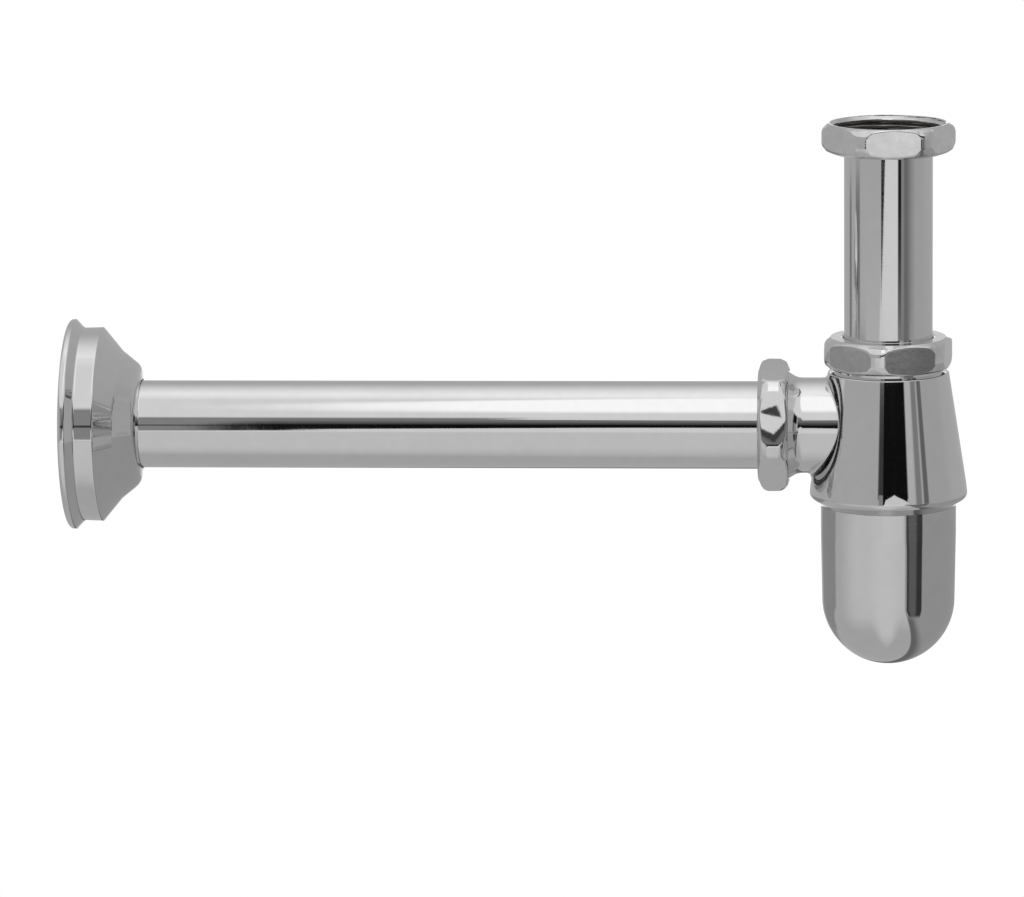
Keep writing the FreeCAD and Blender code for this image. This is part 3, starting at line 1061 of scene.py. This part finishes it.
def light_studio():
    """Even white light, with panels that only reflections show. The camera sees plain white."""
    world = bpy.data.worlds.new("studio")
    bpy.context.scene.world = world
    world.use_nodes = True
    graph = Graph(world.node_tree)
    towards = graph.node("TexCoord").outputs["Generated"]
    direction = graph.node("SeparateXYZ", {0: towards})
    away = graph.math("MULTIPLY", direction.outputs[1], -1)
    azimuth = graph.math("DEGREES", graph.math("ARCTAN2", direction.outputs[0], away))
    elevation = graph.math("DEGREES", graph.math("ARCSINE", direction.outputs[2]))

    facing = {0: towards, 1: unit_vector(*table_edge_facing)}
    beyond = graph.node("VectorMath", facing, operation="DOT_PRODUCT").outputs["Value"]
    near_side = graph.edge(beyond, table_side_width, table_side_softness, rising=False)
    below_side_top = graph.edge(elevation, table_side_top, table_side_top_softness, rising=False)
    beside = graph.math("MULTIPLY", near_side, below_side_top)
    behind_edge = graph.edge(beyond, 0, table_edge_softness, rising=False)
    below_table_top = graph.edge(elevation, table_top, table_top_softness, rising=False)
    on_table = graph.math("MULTIPLY", behind_edge, below_table_top)
    base = shade_level(studio_base)
    room = covered(graph, base, room_panels, azimuth, elevation)
    room = graph.mix(beside, room, shade_level(table_side_shade))
    table = covered(graph, base, table_panels, azimuth, elevation)
    level = covered(graph, graph.mix(on_table, room, table), near_panels, azimuth, elevation)

    # Light that is even all round needs no map of its bright places
    world.cycles.sampling_method = "NONE"
    plain = world.node_tree.nodes["Background"]
    graph.put(plain.inputs["Color"], (1, 1, 1, 1))
    graph.put(plain.inputs["Strength"], 1)
    reflected = graph.node("Background", {"Color": level, "Strength": 1})
    glossy = graph.node("LightPath").outputs["Is Glossy Ray"]
    both = graph.node("MixShader", {0: glossy, 1: plain.outputs[0], 2: reflected.outputs[0]})
    graph.put(world.node_tree.nodes["World Output"].inputs["Surface"], both.outputs[0])


def lay_floor():
    """A pale floor, where a bathroom's would be, that turns into the white background further out.

    Its underside isn't there, so it never hides the trap.
    """
    material, graph, shader, place = new_material("pale_floor")
    shade = graph.remap(graph.noise(place, scale=40, detail=4), *floor_shades)
    colour = graph.node("CombineColor", {0: shade, 1: shade, 2: shade})
    graph.put(shader.inputs["Base Color"], colour.outputs[0])
    graph.put(shader.inputs["Roughness"], floor_dullness)
    distance = graph.node("VectorMath", {0: place}, operation="LENGTH").outputs["Value"]
    fade = graph.edge(distance, floor_fade_r, floor_fade_width)
    seen = graph.math("MULTIPLY", fade, graph.node("LightPath").outputs["Is Camera Ray"])
    white = graph.node("Emission", {"Color": (1, 1, 1, 1), "Strength": 1})
    mixed = graph.node("MixShader", {0: seen, 1: shader.outputs[0], 2: white.outputs[0]})
    below = graph.node("NewGeometry").outputs["Backfacing"]
    clear = graph.node("BsdfTransparent")
    one_sided = graph.node("MixShader", {0: below, 1: mixed.outputs[0], 2: clear.outputs[0]})
    graph.put(material.node_tree.nodes["Material Output"].inputs["Surface"], one_sided.outputs[0])

    mesh = bpy.data.meshes.new("floor")
    corners = [(x * floor_half, y * floor_half, 0) for x, y in ((-1, -1), (1, -1), (1, 1), (-1, 1))]
    mesh.from_pydata(corners, [], [(0, 1, 2, 3)])
    mesh.materials.append(material)
    floor = bpy.data.objects.new("floor", mesh)
    floor.location = (0, 0, -floor_drop)
    floor.visible_glossy = False
    bpy.context.scene.collection.objects.link(floor)


turned_chrome = polished_chrome("turned_chrome", "Z", peel=1.5e-6)
drawn_chrome = polished_chrome("drawn_chrome", "X", peel=1.5e-6)

# The facets of the upright nuts are the least even, and those of the outlet nut the smoothest
upright_nut_chrome = polished_chrome(
    "upright_nut_chrome", "Z", peel=12e-6, mottle=0.05, dullness=(0.015, 0.03)
)
outlet_nut_chrome = polished_chrome(
    "outlet_nut_chrome", "X", peel=2e-6, mottle=0.02, dullness=(0.01, 0.02)
)

# The polishing wheel doesn't reach into the root of the neck
root_chrome = polished_chrome("root_chrome", "Z", peel=6e-6, mottle=0.03, dullness=(0.2, 0.27))

# Inside metal: duller than the chrome, with painted shade darkening its colour
upright_inside = satin_metal_in_painted_shade("upright_inside", "Z")
outlet_inside = satin_metal_in_painted_shade("outlet_inside", "X")
rubber = moulded(
    "rubber", dark=(0.016, 0.016, 0.017), light=(0.03, 0.03, 0.031),
    dullness=(0.5, 0.68), grain=2600, height=3e-6,
)
nylon = moulded(
    "nylon", dark=(0.74, 0.73, 0.69), light=(0.83, 0.82, 0.79),
    dullness=(0.34, 0.5), grain=1800, height=1.5e-6,
)
upright_metal = [turned_chrome, upright_inside]
outlet_metal = [drawn_chrome, outlet_inside]
upright_nut_metal = [upright_nut_chrome, upright_inside]
outlet_nut_metal = [outlet_nut_chrome, outlet_inside]

coupling = nut_piece(
    "coupling_hexagon", nut_bottom, nut_top, coupling_face_angle, coupling_bore, upright_nut_metal,
    mouth_up=True,
)
inlet_nut = nut_piece(
    "inlet_hexagon", inlet_nut_bottom, inlet_nut_top, inlet_face_angle,
    slip_bore(inlet_nut_bottom, inlet_nut_top, collar_top), upright_nut_metal,
)
outlet_nut = nut_piece(
    "outlet_hexagon", outlet_nut_near, outlet_nut_far, outlet_face_angle,
    slip_bore(outlet_nut_near, outlet_nut_far, neck_end), outlet_nut_metal,
    draft=outlet_nut_draft, **ON_OUTLET,
)
made = [
    (coupling, "coupling_nut", "chrome"),
    (washer_piece([rubber]), "coupling_washer", "rubber"),
    (inlet_tube_piece(upright_metal), "inlet_tube", "chrome"),
    (inlet_nut, "inlet_slip_nut", "chrome"),
    (trap_body([*upright_metal, root_chrome]), "trap_body", "chrome"),
    (cup_piece(upright_metal), "cup", "chrome"),
    (outlet_nut, "outlet_slip_nut", "chrome"),
    (outlet_pipe_piece(outlet_metal), "outlet_pipe", "chrome"),
    (flange_piece(outlet_metal), "wall_flange", "chrome"),
]
bodies = frame["record"]["behaviour"]["bodies"]
body_of_node = {node: body for body, nodes in bodies.items() for node in nodes}
for piece, node, slot_name in made:
    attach(piece, body_of_node[node])
    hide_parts(node)

kept = {
    "inlet_friction_ring": nylon,
    "outlet_friction_ring": nylon,
    "inlet_cone_seal": rubber,
    "outlet_cone_seal": rubber,
    "cup_seal": rubber,
}
for node, material in kept.items():
    materials = frame["nodes"][node].data.materials
    materials.clear()
    materials.append(material)

place_camera()
light_studio()
lay_floor()
bpy.context.scene.view_settings.view_transform = "Standard"
